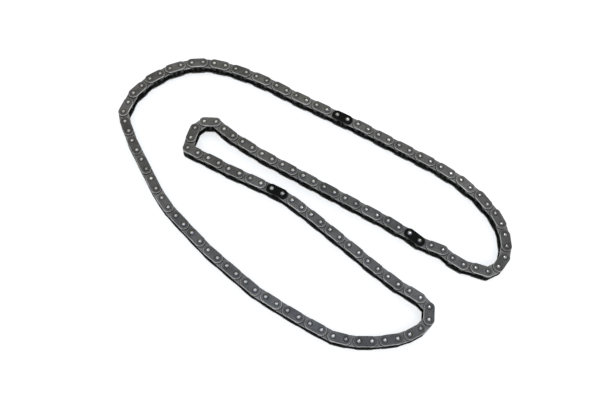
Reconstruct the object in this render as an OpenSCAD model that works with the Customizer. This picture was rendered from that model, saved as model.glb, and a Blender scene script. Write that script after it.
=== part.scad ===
/* [Chain] */
// Distance between neighbouring pins
pitch = 8; // [7.8:0.05:8.4]
// Height of every link plate
plate_height = 6.9; // [6.6:0.1:7.1]
// Thickness of an outer plate
outer_plate = 1; // [0.8:0.05:1.2]
// Thickness of an inner plate
inner_plate = 1; // [0.8:0.05:1.2]
// Room for the sprocket between the inner plates
inner_width = 4.8; // [4.4:0.1:5.2]
// Side play between an outer and an inner plate
side_play = 0.1; // [0.05:0.01:0.15]
// Rounding of a plate's edge on the face that looks outwards
edge_round = 0.32; // [0.2:0.02:0.4]
// Bevel of a plate's edge on the face that looks inwards
plate_bevel = 0.12; // [0.06:0.02:0.2]

/* [Pins and bushes] */
// Diameter of the pins
pin_diameter = 2.8; // [2.4:0.1:3]
// Diameter of a riveted pin head
head_diameter = 3.3; // [3.1:0.1:3.6]
// How far a pin head stands out of its plate
head_height = 0.4; // [0.3:0.05:0.6]
// Flat in the middle of a pin head
head_flat = 1.2; // [0.8:0.1:1.6]
// Outside diameter of the bushes
bush_diameter = 5; // [4.6:0.1:5.2]
// Radial clearance between a pin and its bush
pin_clearance = 0.04; // [0.02:0.01:0.08]
// Bevel at both ends of a bush
bush_bevel = 0.12; // [0.06:0.02:0.2]

/* [Lay of the loop] */
// Heading of the first link, at the left end of the loop
first_heading = 76; // [70:1:82]

/* [Hidden] */
$fn = 48;

// How the loop lies, link after link: [how many links, turn on entering each].
// Even links are outer links and odd links are inner links.
courses = [
    [1, 0], [1, -1], [1, -20], [1, 0], [1, -15], [1, 0], [1, -12], [1, -5], [1, -12], [1, -10], [1, -8],
    [1, -5], [1, -3], [1, -2], [1, -3], [2, -2], [1, 0], [1, 4], [5, 0],
    [1, -4], [4, 0],
    [2, 0], [1, -2], [1, -4], [1, 0], [1, -10], [1, 4], [1, -14], [1, 2], [1, -13], [1, -12], [1, -10],
    [1, -16], [1, -23], [1, -26], [1, -44], [1, 3], [1, -18], [1, -11], [1, 22], [1, -2], [1, -16], [1, 12],
    [1, -7], [1, 6], [1, -1], [5, 0],
    [5, 0],
    [1, -4], [2, 0], [1, -6], [1, -4], [1, 43], [1, 42], [1, 31], [1, 6], [1, 73], [1, 2], [1, -1],
    [1, -3], [1, 6], [3, -0.5], [1, -1], [1, -9], [1, -2.5], [1, 0],
    [1, -2], [4, 0],
    [1, -3], [1, 4], [1, 1], [1, -1], [1, 9], [1, -3], [1, -15], [1, -47], [1, -38], [1, -18], [1, -9],
    [1, -11], [1, -3], [1, -5], [1, -8], [1, -6], [1, -14], [5, -1], [1, 0],
    [1, -8], [4, 0],
    [1, -6], [1, 1], [1, -1], [1, 0], [1, -2], [1, -6], [1, -3], [1, -4], [4, 0], [1, -7], [1, 3], [1, -11]
];

// Links of the four live runs and of the stretches between them: [first, last].
top_run = [24, 28];
middle_run = [60, 64];
cross_run = [86, 90];
bottom_run = [114, 118];
right_bend = [29, 59];
inner_bend = [65, 85];
lower_bend = [91, 113];
left_bend = [119, 157];

// Outer links whose upper plate is black.
marks = [22, 50, 82];

// Two straight stretches that take up the closing of the loop.
leg_a = [18, 23];
leg_b = [126, 130];

// Running total of a list.
function total(v) = [for (i = 0, s = v[0]; i < len(v); i = i + 1, s = s + (i < len(v) ? v[i] : 0)) s];
function add(v) = v * [for (i = v) 1];
function dir(a) = [cos(a), sin(a)];
function inside(i, leg) = i >= leg[0] && i <= leg[1];
function leg_length(leg) = pitch * (leg[1] - leg[0] + 1);
function third(far, near, w) = acos((near * near + w * w - far * far) / (2 * near * w));

turns = [for (c = courses) for (k = [1:c[0]]) c[1]];
laid = [for (t = total(turns)) first_heading + t];
links = len(laid);

// The rest of the loop leaves a gap, and the two legs bridge it as two sides of a triangle.
rest = [for (i = [0:links - 1]) if (!inside(i, leg_a) && !inside(i, leg_b)) pitch * dir(laid[i])];
gap = -[add([for (r = rest) r[0]]), add([for (r = rest) r[1]])];
gap_heading = atan2(gap[1], gap[0]);
gap_length = norm(gap);
turn_a = third(leg_length(leg_b), leg_length(leg_a), gap_length);
turn_b = third(leg_length(leg_a), leg_length(leg_b), gap_length);
heading = [for (i = [0:links - 1])
    inside(i, leg_a) ? gap_heading - turn_a : inside(i, leg_b) ? gap_heading + turn_b : laid[i]];

// Where the pins stand, with the loop centred on its own outline.
track_x = total([for (h = heading) pitch * cos(h)]);
track_y = total([for (h = heading) pitch * sin(h)]);
mid_x = (max(track_x) + min(track_x)) / 2;
mid_y = (max(track_y) + min(track_y)) / 2;
function pin_at(i) = let (k = (i + links - 1) % links) [track_x[k] - mid_x, track_y[k] - mid_y];

// Heights of the layers over the surface that the pin heads stand on.
low_outer = head_height;
low_inner = low_outer + outer_plate + side_play;
high_inner = low_inner + inner_plate + inner_width;
high_outer = high_inner + inner_plate + side_play;
top_face = high_outer + outer_plate;
overall = top_face + head_height;

// An obround slab along +X with its first eye at the origin, narrowing from r1 to r2.
module slab(r1, r2, h) {
    cylinder(r1 = r1, r2 = r2, h = h);
    translate([pitch, 0, 0]) cylinder(r1 = r1, r2 = r2, h = h);
    rotate([90, 0, 90])
        linear_extrude(pitch) polygon([[-r1, 0], [r1, 0], [r2, h], [-r2, h]]);
}

// One punched link plate with two eyes: its upper edge is rounded in two steps, its lower edge bevelled.
module plate(t, eye) {
    r = plate_height / 2;
    step = edge_round * (1 - sqrt(0.5));
    difference() {
        union() {
            slab(r - plate_bevel, r, plate_bevel);
            translate([0, 0, plate_bevel]) slab(r, r, t - plate_bevel - edge_round);
            translate([0, 0, t - edge_round]) slab(r, r - step, edge_round - step);
            translate([0, 0, t - step]) slab(r - step, r - edge_round, step);
        }
        translate([0, 0, -1]) cylinder(d = eye, h = t + 2);
        translate([pitch, 0, -1]) cylinder(d = eye, h = t + 2);
    }
}

// The same plate turned over, for the lower side of the chain.
module plate_below(t, eye) {
    translate([0, 0, t]) rotate([180, 0, 0]) plate(t, eye);
}

// A pin with a domed head at each end, turned about its own axis.
module pin() {
    dome = [for (a = [0:22.5:90])
        [head_flat / 2 + (head_diameter - head_flat) / 2 * sin(a), head_height * (1 - cos(a))]];
    rotate_extrude()
        polygon(concat(
            [[0, 0]],
            dome,
            [[pin_diameter / 2, head_height], [pin_diameter / 2, overall - head_height]],
            [for (k = [len(dome) - 1:-1:0]) [dome[k][0], overall - dome[k][1]]],
            [[0, overall]]
        ));
}

// A bush, as long as the inner link is wide, with bevelled ends.
module bush() {
    h = high_inner + inner_plate - low_inner;
    r = bush_diameter / 2;
    bore = pin_diameter / 2 + pin_clearance;
    rotate_extrude()
        polygon([
            [bore, 0], [r - bush_bevel, 0], [r, bush_bevel],
            [r, h - bush_bevel], [r - bush_bevel, h], [bore, h]
        ]);
}

// Sets its child on link i, along the link.
module on_link(i) {
    p = pin_at(i);
    translate([p[0], p[1], 0]) rotate([0, 0, heading[i % links]]) children();
}

function outer_links(s) = [for (i = [s[0]:s[1]]) if (i % 2 == 0) i];
function inner_links(s) = [for (i = [s[0]:s[1]]) if (i % 2 == 1) i];
function is_mark(i) = len([for (m = marks) if (m == i % links) m]) > 0;

module upper_outer_plate(i) {
    on_link(i) translate([0, 0, high_outer]) plate(outer_plate, pin_diameter);
}

module outer_plates(s) {
    color("dimgray") for (i = outer_links(s)) {
        on_link(i) translate([0, 0, low_outer]) plate_below(outer_plate, pin_diameter);
        if (!is_mark(i)) upper_outer_plate(i);
    }
}

module inner_plates(s) {
    color("slategray") for (i = inner_links(s)) {
        on_link(i) translate([0, 0, low_inner]) plate_below(inner_plate, bush_diameter);
        on_link(i) translate([0, 0, high_inner]) plate(inner_plate, bush_diameter);
    }
}

module pins(s) {
    color("silver") for (i = outer_links(s)) {
        on_link(i) pin();
        on_link(i) translate([pitch, 0, 0]) pin();
    }
}

module bushes(s) {
    color("gray") for (i = inner_links(s)) {
        on_link(i) translate([0, 0, low_inner]) bush();
        on_link(i) translate([pitch, 0, low_inner]) bush();
    }
}

module timing_mark(k) {
    color("black") upper_outer_plate(marks[k]);
}

// One link of a live run, counted from 1.
function one(s, k) = [s[0] + k - 1, s[0] + k - 1];

outer_plates(left_bend);  // left_bend_outer_plates
inner_plates(left_bend);  // left_bend_inner_plates
pins(left_bend);  // left_bend_pins
bushes(left_bend);  // left_bend_bushes
outer_plates(right_bend);  // right_bend_outer_plates
inner_plates(right_bend);  // right_bend_inner_plates
pins(right_bend);  // right_bend_pins
bushes(right_bend);  // right_bend_bushes
outer_plates(inner_bend);  // inner_bend_outer_plates
inner_plates(inner_bend);  // inner_bend_inner_plates
pins(inner_bend);  // inner_bend_pins
bushes(inner_bend);  // inner_bend_bushes
outer_plates(lower_bend);  // lower_bend_outer_plates
inner_plates(lower_bend);  // lower_bend_inner_plates
pins(lower_bend);  // lower_bend_pins
bushes(lower_bend);  // lower_bend_bushes
outer_plates(one(top_run, 1));  // top_link_1_plates
pins(one(top_run, 1));  // top_link_1_pins
inner_plates(one(top_run, 2));  // top_link_2_plates
bushes(one(top_run, 2));  // top_link_2_bushes
outer_plates(one(top_run, 3));  // top_link_3_plates
pins(one(top_run, 3));  // top_link_3_pins
inner_plates(one(top_run, 4));  // top_link_4_plates
bushes(one(top_run, 4));  // top_link_4_bushes
outer_plates(one(top_run, 5));  // top_link_5_plates
pins(one(top_run, 5));  // top_link_5_pins
outer_plates(one(middle_run, 1));  // middle_link_1_plates
pins(one(middle_run, 1));  // middle_link_1_pins
inner_plates(one(middle_run, 2));  // middle_link_2_plates
bushes(one(middle_run, 2));  // middle_link_2_bushes
outer_plates(one(middle_run, 3));  // middle_link_3_plates
pins(one(middle_run, 3));  // middle_link_3_pins
inner_plates(one(middle_run, 4));  // middle_link_4_plates
bushes(one(middle_run, 4));  // middle_link_4_bushes
outer_plates(one(middle_run, 5));  // middle_link_5_plates
pins(one(middle_run, 5));  // middle_link_5_pins
outer_plates(one(cross_run, 1));  // cross_link_1_plates
pins(one(cross_run, 1));  // cross_link_1_pins
inner_plates(one(cross_run, 2));  // cross_link_2_plates
bushes(one(cross_run, 2));  // cross_link_2_bushes
outer_plates(one(cross_run, 3));  // cross_link_3_plates
pins(one(cross_run, 3));  // cross_link_3_pins
inner_plates(one(cross_run, 4));  // cross_link_4_plates
bushes(one(cross_run, 4));  // cross_link_4_bushes
outer_plates(one(cross_run, 5));  // cross_link_5_plates
pins(one(cross_run, 5));  // cross_link_5_pins
outer_plates(one(bottom_run, 1));  // bottom_link_1_plates
pins(one(bottom_run, 1));  // bottom_link_1_pins
inner_plates(one(bottom_run, 2));  // bottom_link_2_plates
bushes(one(bottom_run, 2));  // bottom_link_2_bushes
outer_plates(one(bottom_run, 3));  // bottom_link_3_plates
pins(one(bottom_run, 3));  // bottom_link_3_pins
inner_plates(one(bottom_run, 4));  // bottom_link_4_plates
bushes(one(bottom_run, 4));  // bottom_link_4_bushes
outer_plates(one(bottom_run, 5));  // bottom_link_5_plates
pins(one(bottom_run, 5));  // bottom_link_5_pins
timing_mark(0);  // timing_mark_1
timing_mark(1);  // timing_mark_2
timing_mark(2);  // timing_mark_3
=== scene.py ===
# A timing chain: one detailed mesh for each CAD node, five steels, a white floor, soft lamps and the camera.
import math

import bpy
import numpy as np
from mathutils import Matrix, Vector
from mathutils.geometry import tessellate_polygon


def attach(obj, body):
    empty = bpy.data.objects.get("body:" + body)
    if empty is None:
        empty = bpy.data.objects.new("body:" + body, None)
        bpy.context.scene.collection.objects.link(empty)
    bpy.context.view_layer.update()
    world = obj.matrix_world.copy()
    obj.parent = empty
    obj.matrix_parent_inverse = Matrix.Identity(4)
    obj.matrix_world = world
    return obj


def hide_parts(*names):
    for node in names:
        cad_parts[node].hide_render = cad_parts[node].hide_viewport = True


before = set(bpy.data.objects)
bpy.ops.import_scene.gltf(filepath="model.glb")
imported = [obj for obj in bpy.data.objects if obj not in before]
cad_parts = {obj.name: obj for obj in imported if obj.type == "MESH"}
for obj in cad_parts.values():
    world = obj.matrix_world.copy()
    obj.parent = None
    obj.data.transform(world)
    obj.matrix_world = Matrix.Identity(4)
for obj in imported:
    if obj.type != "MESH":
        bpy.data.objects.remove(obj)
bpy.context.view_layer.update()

# Sizes of the chain, in metres, as the solids have them. R is a radius, T a thickness.
PITCH = 0.008
PLATE_R = 0.00345
OUTER_T = 0.001
INNER_T = 0.001
LOW_OUTER = 0.0004  # the four levels that the plates stand at, undersides
LOW_INNER = 0.0015
HIGH_INNER = 0.0073
HIGH_OUTER = 0.0084
OVERALL = 0.0098
PIN_R = 0.0014
HEAD_R = 0.00165
HEAD_H = 0.0004
BUSH_R = 0.0025
BORE_R = 0.00144

# Roundings that the solids leave to this script, in metres.
EDGE = 0.00032      # a plate's edge on the side away from the chain's middle
BEVEL = 0.00012     # its other edge
BUSH_EDGE = 0.00012
CAP_R = 0.006       # radius of the shallow dome on a rivet head
RIM_R = 0.0004      # a rivet head's rim

# How the loop lies: (links, turn in degrees on entering each), as in the solids. The two legs take up what is left.
FIRST_HEADING = 76
COURSES = [
    (1, 0), (1, -1), (1, -20), (1, 0), (1, -15), (1, 0), (1, -12), (1, -5), (1, -12), (1, -10), (1, -8),
    (1, -5), (1, -3), (1, -2), (1, -3), (2, -2), (1, 0), (1, 4), (5, 0),
    (1, -4), (4, 0),
    (2, 0), (1, -2), (1, -4), (1, 0), (1, -10), (1, 4), (1, -14), (1, 2), (1, -13), (1, -12), (1, -10),
    (1, -16), (1, -23), (1, -26), (1, -44), (1, 3), (1, -18), (1, -11), (1, 22), (1, -2), (1, -16), (1, 12),
    (1, -7), (1, 6), (1, -1), (5, 0),
    (5, 0),
    (1, -4), (2, 0), (1, -6), (1, -4), (1, 43), (1, 42), (1, 31), (1, 6), (1, 73), (1, 2), (1, -1),
    (1, -3), (1, 6), (3, -0.5), (1, -1), (1, -9), (1, -2.5), (1, 0),
    (1, -2), (4, 0),
    (1, -3), (1, 4), (1, 1), (1, -1), (1, 9), (1, -3), (1, -15), (1, -47), (1, -38), (1, -18), (1, -9),
    (1, -11), (1, -3), (1, -5), (1, -8), (1, -6), (1, -14), (5, -1), (1, 0),
    (1, -8), (4, 0),
    (1, -6), (1, 1), (1, -1), (1, 0), (1, -2), (1, -6), (1, -3), (1, -4), (4, 0), (1, -7), (1, 3), (1, -11),
]
LEG_A = (18, 23)
LEG_B = (126, 130)
MARKS = {22: "timing_mark_1", 50: "timing_mark_2", 82: "timing_mark_3"}
BENDS = {"left_bend": (119, 157), "right_bend": (29, 59), "inner_bend": (65, 85), "lower_bend": (91, 113)}
RUNS = {"top": 24, "middle": 60, "cross": 86, "bottom": 114}


def along(deg):
    a = np.radians(deg)
    return np.stack([np.cos(a), np.sin(a)], -1)


def lay_of_the_loop():
    """Heading of each link in degrees, and the pin that each link starts at."""
    turns = [t for n, t in COURSES for _ in range(n)]
    laid = FIRST_HEADING + np.cumsum(turns)
    count = len(laid)
    in_a = [LEG_A[0] <= i <= LEG_A[1] for i in range(count)]
    in_b = [LEG_B[0] <= i <= LEG_B[1] for i in range(count)]
    rest = sum(PITCH * along(laid[i]) for i in range(count) if not in_a[i] and not in_b[i])
    gap = -rest
    heading = math.degrees(math.atan2(gap[1], gap[0]))
    w = float(np.hypot(*gap))
    a = PITCH * sum(in_a)
    b = PITCH * sum(in_b)
    turn_a = math.degrees(math.acos((a * a + w * w - b * b) / (2 * a * w)))
    turn_b = math.degrees(math.acos((b * b + w * w - a * a) / (2 * b * w)))
    head = [heading - turn_a if in_a[i] else heading + turn_b if in_b[i] else float(laid[i]) for i in range(count)]
    track = np.cumsum(PITCH * along(np.array(head)), 0)
    mid = (track.max(0) + track.min(0)) / 2
    return np.array(head), np.roll(track, 1, 0) - mid


HEADING, PIN = lay_of_the_loop()
LINKS = len(HEADING)


# Mesh templates. Each is (vertices, faces, normals of the vertices), with its first eye or its axis at the origin.

def ring_outline(r, steps):
    """Obround outline round the two eyes, anticlockwise, with its outward normals."""
    pts = []
    for k in range(steps + 1):
        a = -math.pi / 2 + math.pi * k / steps
        pts.append((PITCH + r * math.cos(a), r * math.sin(a), math.cos(a), math.sin(a)))
    for f in (0.75, 0.5, 0.25):
        pts.append((PITCH * f, r, 0.0, 1.0))
    for k in range(steps + 1):
        a = math.pi / 2 + math.pi * k / steps
        pts.append((r * math.cos(a), r * math.sin(a), math.cos(a), math.sin(a)))
    for f in (0.25, 0.5, 0.75):
        pts.append((PITCH * f, -r, 0.0, -1.0))
    return pts


def circle(cx, r, steps):
    return [(cx + r * math.cos(2 * math.pi * k / steps), r * math.sin(2 * math.pi * k / steps)) for k in range(steps)]


def plate_template(t, eye, top, bottom, steps=16, eye_steps=20, top_rings=5, bottom_rings=4):
    """A punched plate: rounded more on its top edge than on its bottom edge, with two eyes."""
    verts, normals, faces = [], [], []

    def ring(inset, z, flat, up):
        start = len(verts)
        for x, y, nx, ny in ring_outline(PLATE_R - inset, steps):
            verts.append((x, y, z))
            normals.append((nx * (1 - flat), ny * (1 - flat), up))
        return list(range(start, len(verts)))

    rings = []
    for k in range(top_rings):
        a = math.pi / 2 * k / (top_rings - 1)
        rings.append((top * (1 - math.sin(a)), t - top * (1 - math.cos(a)), 1 - math.sin(a), math.cos(a)))
    for k in range(bottom_rings):
        a = math.pi / 2 * k / (bottom_rings - 1)
        rings.append((bottom * (1 - math.cos(a)), bottom * (1 - math.sin(a)), 1 - math.cos(a), -math.sin(a)))
    loops = [ring(*r) for r in rings]
    n = len(loops[0])
    for low, high in zip(loops[1:], loops[:-1]):
        for i in range(n):
            j = (i + 1) % n
            faces.append((low[i], low[j], high[j], high[i]))
    for z, up, outer in ((t, 1.0, loops[0]), (0.0, -1.0, loops[-1])):
        contours = [[Vector(verts[i]) for i in outer]]
        index = list(outer)
        for cx in (0.0, PITCH):
            start = len(verts)
            for x, y in circle(cx, eye, eye_steps):
                verts.append((x, y, z))
                normals.append((0.0, 0.0, up))
            hole = list(range(start, start + eye_steps))[::-1]  # a hole runs the other way round
            index += hole
            contours.append([Vector(verts[i]) for i in hole])
        for tri in tessellate_polygon(contours):
            f = [index[i] for i in tri]
            a, b, c = (Vector(verts[i]) for i in f)
            if ((b - a).cross(c - a)).z * up < 0:
                f.reverse()
            faces.append(tuple(f))
    for cx in (0.0, PITCH):
        start = len(verts)
        for x, y in circle(cx, eye, eye_steps):
            for z in (0.0, t):
                verts.append((x, y, z))
                normals.append(((cx - x) / eye, -y / eye, 0.0))
        for k in range(eye_steps):
            i = start + 2 * k
            j = start + 2 * ((k + 1) % eye_steps)
            faces.append((i, i + 1, j + 1, j))
    return np.array(verts), faces, np.array(normals)


def lathe_template(profile, steps):
    """profile: (radius, z, normal radial, normal z) from bottom to top, turned about Z."""
    verts, normals, faces = [], [], []
    rows = []
    for r, z, nr, nz in profile:
        start = len(verts)
        if r < 1e-9:
            verts.append((0.0, 0.0, z))
            normals.append((0.0, 0.0, 1.0 if nz > 0 else -1.0))
            rows.append([start] * steps)
            continue
        for k in range(steps):
            a = 2 * math.pi * k / steps
            verts.append((r * math.cos(a), r * math.sin(a), z))
            normals.append((nr * math.cos(a), nr * math.sin(a), nz))
        rows.append(list(range(start, start + steps)))
    for low, high in zip(rows[:-1], rows[1:]):
        for k in range(steps):
            j = (k + 1) % steps
            f = [low[k], low[j], high[j], high[k]]
            f = [v for m, v in enumerate(f) if v != f[m - 1]]
            if len(f) > 2:
                faces.append(tuple(f))
    return np.array(verts), faces, np.array(normals)


def pin_template(steps=24, cap_rings=4, rim_rings=5):
    """A riveted pin: each head is a shallow cap with a tightly rounded rim."""
    half = [(0.0, 0.0, 0.0, -1.0)]
    for k in range(1, cap_rings + 1):
        r = (HEAD_R - RIM_R) * k / cap_rings
        half.append((r, CAP_R - math.sqrt(CAP_R * CAP_R - r * r), r / CAP_R, -math.sqrt(1 - (r / CAP_R) ** 2)))
    low = half[-1][1]
    first = math.atan(half[-1][2] / -half[-1][3])
    for k in range(1, rim_rings + 1):
        a = first + (math.pi / 2 - first) * k / rim_rings
        f = (math.sin(a) - math.sin(first)) / (1 - math.sin(first))
        g = (math.cos(first) - math.cos(a)) / math.cos(first)
        half.append((HEAD_R - RIM_R + RIM_R * f, low + (HEAD_H - low) * g, math.sin(a), -math.cos(a)))
    half.append((HEAD_R, HEAD_H, 0.0, 1.0))
    half.append((PIN_R, HEAD_H, 0.0, 1.0))
    half.append((PIN_R, HEAD_H, 1.0, 0.0))
    other = [(r, OVERALL - z, nr, -nz) for r, z, nr, nz in reversed(half)]
    return lathe_template(half + other, steps)


def bush_template(steps=28):
    """A sleeve with broken edges; its ends are flush with the inner plates."""
    h = HIGH_INNER + INNER_T - LOW_INNER
    e = BUSH_EDGE
    q = math.sqrt(0.5)
    profile = [
        (BORE_R, 0.0, 0.0, -1.0), (BUSH_R - e, 0.0, 0.0, -1.0), (BUSH_R - e, 0.0, q, -q), (BUSH_R, e, q, -q),
        (BUSH_R, e, 1.0, 0.0), (BUSH_R, h - e, 1.0, 0.0), (BUSH_R, h - e, q, q), (BUSH_R - e, h, q, q),
        (BUSH_R - e, h, 0.0, 1.0), (BORE_R, h, 0.0, 1.0), (BORE_R, h, -1.0, 0.0), (BORE_R, 0.0, -1.0, 0.0),
    ]
    return lathe_template(profile, steps)


def flipped(template, t):
    """The same template, turned over in its own thickness."""
    v, f, n = template
    v = v * np.array([1, -1, -1]) + np.array([0, 0, t])
    return v, f, n * np.array([1, -1, -1])


def joined(name, parts):
    """One mesh object from [(template, x, y, z, heading in degrees)]."""
    vs, fs, ns = [], [], []
    base = 0
    for (v, f, n), x, y, z, deg in parts:
        c, s = math.cos(math.radians(deg)), math.sin(math.radians(deg))
        turn = np.array([[c, s, 0], [-s, c, 0], [0, 0, 1]])
        vs.append(v @ turn + np.array([x, y, z]))
        ns.append(n @ turn)
        fs += [tuple(i + base for i in face) for face in f]
        base += len(v)
    vs, ns = np.concatenate(vs), np.concatenate(ns)
    mesh = bpy.data.meshes.new(name)
    mesh.from_pydata(vs.tolist(), [], fs)
    mesh.shade_smooth()
    ns = ns / np.linalg.norm(ns, axis=1)[:, None]
    mesh.normals_split_custom_set_from_vertices(ns.tolist())
    # where each vertex lies in its own template, for the marks round the eyes and heads
    local = mesh.attributes.new("link_place", "FLOAT_VECTOR", "POINT")
    local.data.foreach_set("vector", np.concatenate([p[0][0] for p in parts]).ravel())
    mesh.validate()
    obj = bpy.data.objects.new(name, mesh)
    bpy.context.scene.collection.objects.link(obj)
    return obj


# Materials.

class Nodes:
    """A small helper that adds and links shader nodes."""

    def __init__(self, name):
        self.mat = bpy.data.materials.new(name)
        self.mat.use_nodes = True
        self.tree = self.mat.node_tree
        self.tree.nodes.clear()
        self.out = self.tree.nodes.new("ShaderNodeOutputMaterial")

    def add(self, kind, inputs=None, **props):
        node = self.tree.nodes.new(kind)
        for k, v in props.items():
            setattr(node, k, v)
        for k, v in (inputs or {}).items():
            if isinstance(v, bpy.types.NodeSocket):
                self.tree.links.new(v, node.inputs[k])
            else:
                node.inputs[k].default_value = v
        return node

    def math(self, op, a, b=0.0):
        return self.add("ShaderNodeMath", {0: a, 1: b}, operation=op).outputs[0]

    def sum(self, a, b):
        return self.math("ADD", a, b)

    def times(self, a, b):
        return self.math("MULTIPLY", a, b)

    def noise(self, at, scale, detail, rough):
        inputs = {"Vector": at, "Scale": scale, "Detail": detail, "Roughness": rough}
        return self.add("ShaderNodeTexNoise", inputs).outputs[0]

    def split(self, vector):
        return self.add("ShaderNodeSeparateXYZ", {0: vector}).outputs

    def tinted(self, colour, tone):
        grey_tone = self.add("ShaderNodeCombineColor", {0: tone, 1: tone, 2: tone}).outputs[0]
        mixed = self.add("ShaderNodeMix", {0: 1.0, 6: colour, 7: grey_tone}, data_type="RGBA", blend_type="MULTIPLY")
        return mixed.outputs[2]

    def ramp(self, fac, stops):
        node = self.add("ShaderNodeValToRGB", {0: fac})
        ramp = node.color_ramp
        while len(ramp.elements) < len(stops):
            ramp.elements.new(0.5)
        for e, (p, c) in zip(ramp.elements, stops):
            e.position = p
            e.color = c
        return node.outputs[0]


def grey(v, warm=0.0):
    return (v * (1 + warm), v, v * (1 - warm), 1)


SCRATCH_TURNS = (0.6, -0.95)            # radians, the two directions of the scratches
SCRATCH_STRETCH = (260.0, 7000.0, 200.0)  # long and thin
SCRATCH_STOPS = [(0.62, grey(0)), (0.68, grey(1))]
SPECK_SCALE, CLOUD_SCALE, GRAIN_SCALE = 900.0, 160.0, 3600.0
BUMP_DEPTH = 0.00012


def scratches(m, local, own):
    """Thin short marks in two directions, laid differently on each plate: 1 on a mark, 0 elsewhere."""
    shift = m.add("ShaderNodeCombineXYZ", {0: m.times(own, 0.37), 1: m.times(own, 0.23)}).outputs[0]
    moved = m.add("ShaderNodeVectorMath", {0: local, 1: shift}, operation="ADD").outputs[0]
    lines = []
    for turn in SCRATCH_TURNS:
        inputs = {"Vector": moved, "Rotation": (0, 0, turn), "Scale": SCRATCH_STRETCH}
        laid = m.add("ShaderNodeMapping", inputs).outputs[0]
        lines.append(m.ramp(m.noise(laid, 1.0, 1.0, 0.4), SCRATCH_STOPS))
    return m.math("MAXIMUM", *lines)


def stain_and_painted_light(m, local, stops):
    """Tone by the distance from the nearer of the two eyes, for rings of painted shade, painted highlight, oil and
    rub. A stop of 0.5 is the plate's own radius.
    """
    x, y, _ = m.split(local)
    reach = []
    for at in (0.0, PITCH):
        dx = m.math("SUBTRACT", x, at)
        reach.append(m.math("SQRT", m.sum(m.times(dx, dx), m.times(y, y))))
    near = m.times(m.math("MINIMUM", *reach), 0.5 / PLATE_R)
    return m.ramp(near, [(p, grey(v)) for p, v in stops])


def steel(name, face, edge, wall, inward_shade, rub_and_painted_light=None, rough=0.42, metal=1.0, uneven=0.0, spread=0.15,
          warm=0.01, gloss=0.3, relief=0.14, wear=0.5):
    """Tumbled steel: grey faces, rounded edges painted brighter as wear and as painted highlight, and painted shade
    on the faces towards the chain's middle.

    face, edge, wall and inward are the greys of those sides, and rub the stops of stain(). spread and uneven
    vary tone and roughness from plate to plate, and wear is how light the scratches are.
    """
    m = Nodes(name)
    geo = m.add("ShaderNodeNewGeometry")
    pos = m.add("ShaderNodeTexCoord").outputs["Object"]
    # +1 where the surface faces away from the chain's middle height, -1 where it faces the middle
    side = m.math("SIGN", m.math("SUBTRACT", m.split(pos)[2], OVERALL / 2))
    outward = m.times(m.split(geo.outputs["Normal"])[2], side)
    slope = m.sum(m.times(outward, 0.5), 0.5)
    speck = m.noise(pos, SPECK_SCALE, 4.0, 0.6)
    cloud = m.noise(pos, CLOUD_SCALE, 3.0, 0.5)
    grain = m.noise(pos, GRAIN_SCALE, 2.0, 0.5)
    own = geo.outputs["Random Per Island"]
    local = m.add("ShaderNodeAttribute", attribute_name="link_place").outputs["Vector"]
    marks = scratches(m, local, own)
    tone = m.sum(m.times(own, spread), 1 - spread / 2)
    tone = m.times(tone, m.sum(m.times(cloud, 1.3), 0.35))
    tone = m.times(tone, m.sum(m.times(speck, 0.8), 0.6))
    tone = m.times(tone, m.sum(m.times(marks, wear), 1.0))
    if rub_and_painted_light:
        tone = m.times(tone, stain_and_painted_light(m, local, rub_and_painted_light))
    # Greys by which way the surface faces are painted light and shade. Faces towards the chain's middle are painted
    # dark as shade. Walls are painted lighter than the top faces for the light they catch. Rounded edges are painted
    # brightest, as highlight and wear.
    painted_light_by_slope = m.ramp(slope, [
        (0.03, grey(inward_shade)), (0.12, grey(wall)), (0.5, grey(wall)),
        (0.7, grey(edge, warm)), (0.94, grey(edge, warm)), (0.995, grey(face, warm)),
    ])
    r = m.sum(m.times(speck, 0.16), rough - 0.08)
    r = m.sum(r, m.times(own, uneven))
    r = m.sum(r, m.times(grain, 0.08))
    height = m.sum(m.times(speck, 0.5), m.times(grain, 0.5))
    height = m.math("SUBTRACT", height, m.times(marks, 0.25))
    bump = m.add("ShaderNodeBump", {"Height": height, "Strength": relief, "Distance": BUMP_DEPTH})
    inputs = {"Base Color": m.tinted(painted_light_by_slope, tone), "Roughness": r, "Normal": bump.outputs[0],
              "Metallic": metal, "Specular IOR Level": gloss}
    bsdf = m.add("ShaderNodeBsdfPrincipled", inputs)
    m.tree.links.new(bsdf.outputs[0], m.out.inputs[0])
    return m.mat


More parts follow.
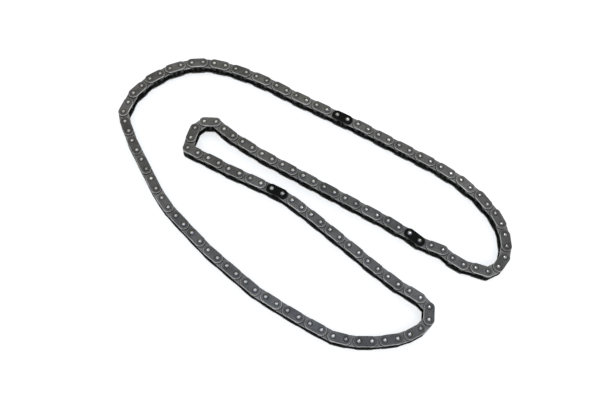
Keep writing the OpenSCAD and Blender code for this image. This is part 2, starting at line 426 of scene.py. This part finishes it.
# Stops for the rings of tone round the eyes. Round a head: oil, and painted shade where the head meets the plate. In
# the middle of a head: polish, painted brighter as a highlight. Round an outer plate's end, on the inner plate: a
# rubbed ring under the outer plate, and painted shade just beyond its edge.
AROUND_HEAD_OIL_AND_SHADE = [(0.24, 0.35), (0.29, 0.95), (0.33, 1.0)]
HEAD_TOP_POLISH_AND_HIGHLIGHT = [(0.06, 1.0), (0.11, 0.55), (0.17, 0.25), (0.25, 0.25)]
AROUND_END_RUB_AND_SHADE = [(0.3, 1.0), (0.46, 0.75), (0.49, 0.2), (0.53, 0.35), (0.6, 1.0)]
MATS = {
    "outer_plate": steel("outer_plate_steel", 0.067, 0.4, 0.26, 0.04, AROUND_HEAD_OIL_AND_SHADE,
                         rough=0.3, metal=0.7, spread=0.5, warm=0.015),
    # The inner plates' face grey is set lighter than the outer plates'. This is painted light, making up for the
    # shade that the outer plates cast on them.
    "inner_plate": steel("inner_plate_steel", 0.1, 0.25, 0.18, 0.03, AROUND_END_RUB_AND_SHADE,
                         rough=0.32, metal=0.7, spread=0.35, warm=0.015),
    "pin": steel("pin_steel", 0.33, 0.24, 0.12, 0.02, HEAD_TOP_POLISH_AND_HIGHLIGHT,
                 rough=0.08, spread=0.5, uneven=0.08, warm=0.02, relief=0.03),
    # The bushes are painted near black, as painted shade of the gap between the plates.
    "bush": steel("bush_steel", 0.03, 0.03, 0.03, 0.02, rough=0.35, metal=0.8),
    "timing_mark": steel("black_mark", 0.003, 0.006, 0.004, 0.003, AROUND_HEAD_OIL_AND_SHADE, rough=0.3, metal=0.3, gloss=0.06),
}


# The pieces: one object for each solid node, made of its links.

outer_top = plate_template(OUTER_T, PIN_R, EDGE, BEVEL)
outer_low = flipped(outer_top, OUTER_T)
inner_top = plate_template(INNER_T, BUSH_R, EDGE, BEVEL)
inner_low = flipped(inner_top, INNER_T)
pin_shape = pin_template()
bush_shape = bush_template()


def place(template, link, z, eye=0):
    """Where a template goes: at the link's first or second eye, in the link's heading."""
    i = link % LINKS
    p = PIN[(link + eye) % LINKS]
    return (template, float(p[0]), float(p[1]), z, float(HEADING[i]))


def make(node, body, kind, parts):
    obj = joined(f"{node}_piece", parts)
    obj.data.materials.append(MATS[kind])
    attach(obj, body)
    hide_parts(node)


def outer_parts(links, mark=False):
    """Both plates of each outer link, less a marked link's upper plate. With mark, that upper plate alone."""
    parts = []
    for i in links:
        if not mark:
            parts.append(place(outer_low, i, LOW_OUTER))
        if mark or i % LINKS not in MARKS:
            parts.append(place(outer_top, i, HIGH_OUTER))
    return parts


def inner_parts(links):
    return [p for i in links for p in (place(inner_low, i, LOW_INNER), place(inner_top, i, HIGH_INNER))]


def pin_parts(links):
    return [place(pin_shape, i, 0.0, e) for i in links for e in (0, 1)]


def bush_parts(links):
    return [place(bush_shape, i, LOW_INNER, e) for i in links for e in (0, 1)]


owner = {}
for bend, (first, last) in BENDS.items():
    outers = [i for i in range(first, last + 1) if i % 2 == 0]
    inners = [i for i in range(first, last + 1) if i % 2 == 1]
    make(f"{bend}_outer_plates", bend, "outer_plate", outer_parts(outers))
    make(f"{bend}_inner_plates", bend, "inner_plate", inner_parts(inners))
    make(f"{bend}_pins", bend, "pin", pin_parts(outers))
    make(f"{bend}_bushes", bend, "bush", bush_parts(inners))
    for i in range(first, last + 1):
        owner[i % LINKS] = bend
for run, first in RUNS.items():
    for k in range(5):
        body = f"{run}_link_{k + 1}"
        link = [first + k]
        if k % 2 == 0:
            make(f"{body}_plates", body, "outer_plate", outer_parts(link))
            make(f"{body}_pins", body, "pin", pin_parts(link))
        else:
            make(f"{body}_plates", body, "inner_plate", inner_parts(link))
            make(f"{body}_bushes", body, "bush", bush_parts(link))
for link, name in MARKS.items():
    make(name, owner[link], "timing_mark", outer_parts([link], mark=True))


# Floor, light and camera.

FLOOR_HALF = 6.0
FLOOR_LIFT = 0.55   # lifts the pale floor to white in the picture and in reflections, and keeps the shadow
FILL = 0.5          # the world's strength where it isn't seen
TILT, ROLL, TURN = 24.91, 6.42, -0.05   # the camera's, in degrees; tilt is from straight down
CAMERA_AT = (-0.0049, -0.2182, 0.4690)
LENS = 46.3         # mm, on a sensor 36 mm wide
LAMPS = [           # name, place, size, power, tint
    ("near", (0.0, 0.19, 1.05), (0.5, 0.35), 0.7, (0.36, 0.6, 1.0)),
    ("lamp_left", (-0.36, 0.27, 1.05), (0.14, 0.14), 0.21, (1, 1, 1)),
    ("lamp_right", (0.28, 0.48, 1.05), (0.08, 0.08), 0.48, (1, 1, 1)),
    ("back_left", (-0.32, 0.66, 1.05), (0.3, 0.2), 0.18, (1.0, 0.86, 0.45)),
    ("back_mid", (0.0, 0.82, 1.05), (0.25, 0.2), 0.44, (0.97, 1.0, 0.75)),
    ("low_left", (-0.95, -0.8, 0.6), (0.8, 0.5), 1.1, (1, 1, 1)),
    ("low_right", (0.9, -0.9, 0.6), (0.8, 0.5), 0.85, (1, 1, 1)),
    ("front", (0.1, -0.95, 1.1), (0.9, 0.4), 1.7, (1, 1, 1)),
    ("right", (1.15, -0.1, 0.9), (0.5, 0.5), 1.1, (1, 1, 1)),
    ("left", (-1.15, 0.1, 0.9), (0.5, 0.5), 1.1, (1, 1, 1)),
]


def seen_rays(tree):
    """1 for rays that show the background: the camera's, and those of gloss and glass."""
    path = tree.nodes.new("ShaderNodeLightPath")
    total = path.outputs["Is Camera Ray"]
    for kind in ("Is Glossy Ray", "Is Transmission Ray"):
        node = tree.nodes.new("ShaderNodeMath")
        node.operation = "MAXIMUM"
        tree.links.new(total, node.inputs[0])
        tree.links.new(path.outputs[kind], node.inputs[1])
        total = node.outputs[0]
    return total


def build_floor():
    m = Nodes("floor_white")
    lift = m.times(seen_rays(m.tree), FLOOR_LIFT)
    inputs = {"Base Color": (0.87, 0.9, 0.94, 1), "Roughness": 0.9, "Specular IOR Level": 0.0,
              "Emission Color": (1, 1, 1, 1), "Emission Strength": lift}
    bsdf = m.add("ShaderNodeBsdfPrincipled", inputs)
    m.tree.links.new(bsdf.outputs[0], m.out.inputs[0])
    mesh = bpy.data.meshes.new("floor")
    s = FLOOR_HALF
    mesh.from_pydata([(-s, -s, 0), (s, -s, 0), (s, s, 0), (-s, s, 0)], [], [(0, 1, 2, 3)])
    obj = bpy.data.objects.new("floor", mesh)
    obj.data.materials.append(m.mat)
    bpy.context.scene.collection.objects.link(obj)


def area(name, pos, size, power, colour):
    """A rectangular lamp that looks at the middle of the chain."""
    data = bpy.data.lights.new(name, "AREA")
    data.shape = "RECTANGLE"
    data.size, data.size_y = size
    data.energy = power
    data.color = colour
    obj = bpy.data.objects.new(name, data)
    obj.location = pos
    obj.rotation_euler = (-Vector(pos)).to_track_quat("-Z", "Y").to_euler()
    bpy.context.scene.collection.objects.link(obj)


def build_world():
    world = bpy.data.worlds.new("studio")
    bpy.context.scene.world = world
    world.use_nodes = True
    tree = world.node_tree
    tree.nodes.clear()
    out = tree.nodes.new("ShaderNodeOutputWorld")
    back = tree.nodes.new("ShaderNodeBackground")
    back.inputs["Color"].default_value = (1, 0.99, 0.97, 1)
    back.inputs["Strength"].default_value = FILL
    white = tree.nodes.new("ShaderNodeBackground")
    white.inputs["Color"].default_value = (1, 1, 1, 1)
    white.inputs["Strength"].default_value = 1.0
    mix = tree.nodes.new("ShaderNodeMixShader")
    tree.links.new(seen_rays(tree), mix.inputs[0])
    tree.links.new(back.outputs[0], mix.inputs[1])
    tree.links.new(white.outputs[0], mix.inputs[2])
    tree.links.new(mix.outputs[0], out.inputs[0])


def build_camera():
    """The photograph's camera, as fitted to the loop."""
    tilt, roll, turn = math.radians(TILT), math.radians(ROLL), math.radians(TURN)
    side = Vector((math.cos(turn), math.sin(turn), 0))
    ahead = Vector((-math.sin(turn), math.cos(turn), 0))
    up = ahead * math.cos(tilt) + Vector((0, 0, math.sin(tilt)))
    back = -ahead * math.sin(tilt) + Vector((0, 0, math.cos(tilt)))
    right = side * math.cos(roll) + up * math.sin(roll)
    top = -side * math.sin(roll) + up * math.cos(roll)
    data = bpy.data.cameras.new("camera")
    data.sensor_width = 36
    data.lens = LENS
    data.clip_start = 0.01
    data.clip_end = 50
    obj = bpy.data.objects.new("camera", data)
    m = Matrix((right, top, back)).transposed().to_4x4()
    m.translation = Vector(CAMERA_AT)
    obj.matrix_world = m
    bpy.context.scene.collection.objects.link(obj)
    bpy.context.scene.camera = obj


build_floor()
build_world()
for lamp in LAMPS:
    area(*lamp)
build_camera()
bpy.context.scene.view_settings.view_transform = "Standard"
